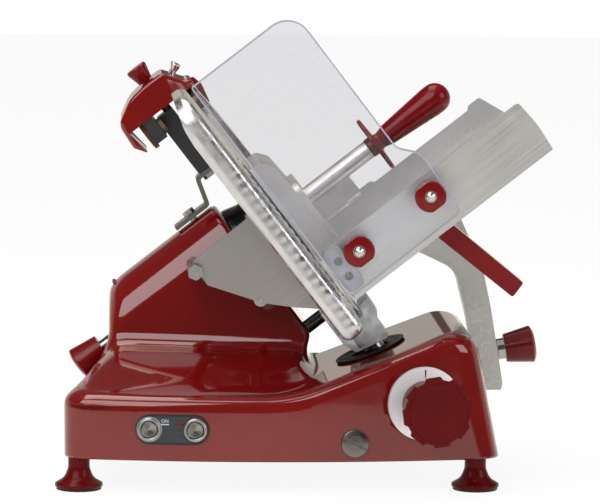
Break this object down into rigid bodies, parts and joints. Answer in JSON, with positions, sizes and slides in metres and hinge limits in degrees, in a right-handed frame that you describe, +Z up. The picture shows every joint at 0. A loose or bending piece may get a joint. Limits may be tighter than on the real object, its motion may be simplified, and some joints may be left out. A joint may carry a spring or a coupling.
{
  "type": "gravity slicer",
  "caption": "Electric gravity-feed food slicer: tilted round blade, adjustable gauge plate, sliding tray with clear finger guard, pusher, and a lift-off sharpener on an enamelled base.",
  "frame": {"origin": "on the worktop, below the middle of the machine's box at rest", "axes": "+Z up, +Y away from the operator's side with the switch panel, +X to the right towards the tray's open end"},
  "size_m": [0.5078, 0.4457, 0.4805],
  "materials": {
    "red_enamel": "glossy dark red enamel",
    "red_plastic": "glossy deep red moulding",
    "black_enamel": "glossy black enamel",
    "dark_grey": "dark grey satin paint",
    "polished_aluminium": "polished cast aluminium",
    "satin_aluminium": "satin anodised aluminium",
    "blade_steel": "turned, fine brushed steel",
    "bright_steel": "ground steel",
    "chrome": "bright chrome",
    "black_rubber": "matt black rubber",
    "black_plastic": "black moulding",
    "clear_guard": "clear acrylic sheet",
    "abrasive": "rough brown abrasive",
    "motor_grey": "painted motor can"
  },
  "bodies": {
    "frame": {"base_casting": "red_enamel", "bottom_cover": "bright_steel", "feet": "red_plastic", "foot_pads": "black_rubber", "switch_panel": "black_plastic", "button_bezels": "chrome", "index_ring": "satin_aluminium", "plug_screw": "bright_steel", "mains_inlet": "black_plastic", "motor": "motor_grey", "drive_belt": "black_rubber", "shaft_bearings": "bright_steel", "bearing_neck": "black_enamel", "ring_guard": "polished_aluminium", "blade_cover": "polished_aluminium", "gauge_boot": "black_rubber", "slice_deflector": "satin_aluminium", "deflector_studs": "bright_steel", "slide_rail": "bright_steel", "sharpener_bracket": "dark_grey", "sharpener_strap": "bright_steel", "sharpener_bolts": "bright_steel"},
    "blade_rotor": {"blade": "blade_steel", "blade_shaft": "bright_steel", "blade_screws": "bright_steel", "driven_pulley": "satin_aluminium"},
    "motor_rotor": {"motor_pulley": "bright_steel"},
    "gauge": {"gauge_plate": "polished_aluminium", "gauge_support": "satin_aluminium", "gauge_guide_rod": "bright_steel", "gauge_post": "bright_steel"},
    "index": {"index_knob": "red_plastic", "index_spindle": "bright_steel"},
    "on_key": {"on_button": "black_plastic"},
    "off_key": {"off_button": "black_plastic"},
    "carriage": {"carriage_arm": "satin_aluminium", "carriage_slider": "satin_aluminium", "tray": "satin_aluminium", "carriage_handle": "red_plastic", "finger_guard": "clear_guard", "guard_spacers": "red_plastic", "tray_bracket": "polished_aluminium", "pusher_rod": "bright_steel"},
    "arm_clamp": {"arm_knob": "red_plastic"},
    "guard_clamp_upper": {"guard_knob_upper": "red_plastic"},
    "guard_clamp_lower": {"guard_knob_lower": "red_plastic"},
    "pusher_slider": {"pusher_bushing": "black_plastic"},
    "pusher": {"pusher_arm": "satin_aluminium", "pusher_head": "satin_aluminium", "pusher_shaft": "satin_aluminium", "pusher_handle": "red_plastic"},
    "sharpener": {"sharpener_cover": "red_enamel", "stone_carrier": "dark_grey"},
    "sharpener_grip": {"sharpener_knob": "red_plastic"},
    "grinding_key": {"grinding_button": "chrome"},
    "honing_key": {"honing_button": "chrome"},
    "grinding_wheel": {"grinding_stone": "abrasive"},
    "honing_wheel": {"honing_stone": "abrasive"},
    "cover_rod": {"cover_tie_rod": "bright_steel", "cover_knob": "red_plastic"}
  },
  "joints": [
    {"name": "blade_spin", "type": "hinge", "parent": "frame", "child": "blade_rotor", "pos_m": [-0.01604, 0.06027, 0.2647], "axis": [0.788, 0, 0.6157], "continuous": true},
    {"name": "motor_spin", "type": "hinge", "parent": "frame", "child": "motor_rotor", "pos_m": [0.04245, 0.06027, 0.18984], "axis": [0.788, 0, 0.6157], "continuous": true},
    {"name": "gauge_slide", "type": "slide", "parent": "frame", "child": "gauge", "axis": [-0.788, 0, -0.6157], "range_m": [0, 0.014]},
    {"name": "index_turn", "type": "hinge", "parent": "frame", "child": "index", "pos_m": [0.11906, -0.15618, 0.0916], "axis": [0.1478, -0.989, 0], "range_deg": [0, 300]},
    {"name": "on_press", "type": "slide", "parent": "frame", "child": "on_key", "axis": [0.098, 0.9932, -0.0628], "range_m": [0, 0.0025], "stiffness_N_per_m": 400},
    {"name": "off_press", "type": "slide", "parent": "frame", "child": "off_key", "axis": [0.098, 0.9932, -0.0628], "range_m": [0, 0.0025], "stiffness_N_per_m": 400},
    {"name": "carriage_slide", "type": "slide", "parent": "frame", "child": "carriage", "axis": [0, 1, 0], "range_m": [-0.14, 0.09]},
    {"name": "arm_knob_turn", "type": "hinge", "parent": "carriage", "child": "arm_clamp", "pos_m": [0.21128, 0.03027, 0.12], "axis": [0.9859, 0, 0.167], "range_deg": [0, 360]},
    {"name": "guard_knob_upper_turn", "type": "hinge", "parent": "carriage", "child": "guard_clamp_upper", "pos_m": [0.11958, -0.18673, 0.30568], "axis": [0, -1, 0], "range_deg": [0, 360]},
    {"name": "guard_knob_lower_turn", "type": "hinge", "parent": "carriage", "child": "guard_clamp_lower", "pos_m": [0.04874, -0.18673, 0.25033], "axis": [0, -1, 0], "range_deg": [0, 360]},
    {"name": "pusher_slide", "type": "slide", "parent": "carriage", "child": "pusher_slider", "axis": [0.788, 0, 0.6157], "range_m": [0, 0.13]},
    {"name": "pusher_swing", "type": "hinge", "parent": "pusher_slider", "child": "pusher", "pos_m": [0.06818, 0.10127, 0.25436], "axis": [-0.788, 0, -0.6157], "range_deg": [0, 24]},
    {"name": "sharpener_lift", "type": "slide", "parent": "frame", "child": "sharpener", "axis": [-0.6157, 0, 0.788], "range_m": [0, 0.035]},
    {"name": "sharpener_knob_turn", "type": "hinge", "parent": "sharpener", "child": "sharpener_grip", "pos_m": [-0.1636, 0.06027, 0.40322], "axis": [-0.6157, 0, 0.788], "range_deg": [0, 360]},
    {"name": "grinding_press", "type": "slide", "parent": "sharpener", "child": "grinding_key", "axis": [-0.3746, 0, -0.9272], "range_m": [0, 0.004], "stiffness_N_per_m": 300},
    {"name": "honing_press", "type": "slide", "parent": "sharpener", "child": "honing_key", "axis": [-0.3746, 0, -0.9272], "range_m": [0, 0.004], "stiffness_N_per_m": 300},
    {"name": "grinding_spin", "type": "hinge", "parent": "sharpener", "child": "grinding_wheel", "pos_m": [-0.1569, 0.06027, 0.34754], "axis": [0.788, 0, 0.6157], "continuous": true},
    {"name": "honing_spin", "type": "hinge", "parent": "sharpener", "child": "honing_wheel", "pos_m": [-0.14779, 0.04027, 0.35212], "axis": [0.788, 0, 0.6157], "continuous": true},
    {"name": "cover_rod_turn", "type": "hinge", "parent": "frame", "child": "cover_rod", "pos_m": [-0.17364, 0.06027, 0.14157], "axis": [0.788, 0, 0.6157], "range_deg": [0, 360]}
  ],
  "couplings": [
    {"joint": "motor_spin", "follows": "blade_spin", "ratio": 2.6667},
    {"joint": "index_turn", "follows": "gauge_slide", "rad_per_m": 373.99}
  ]
}
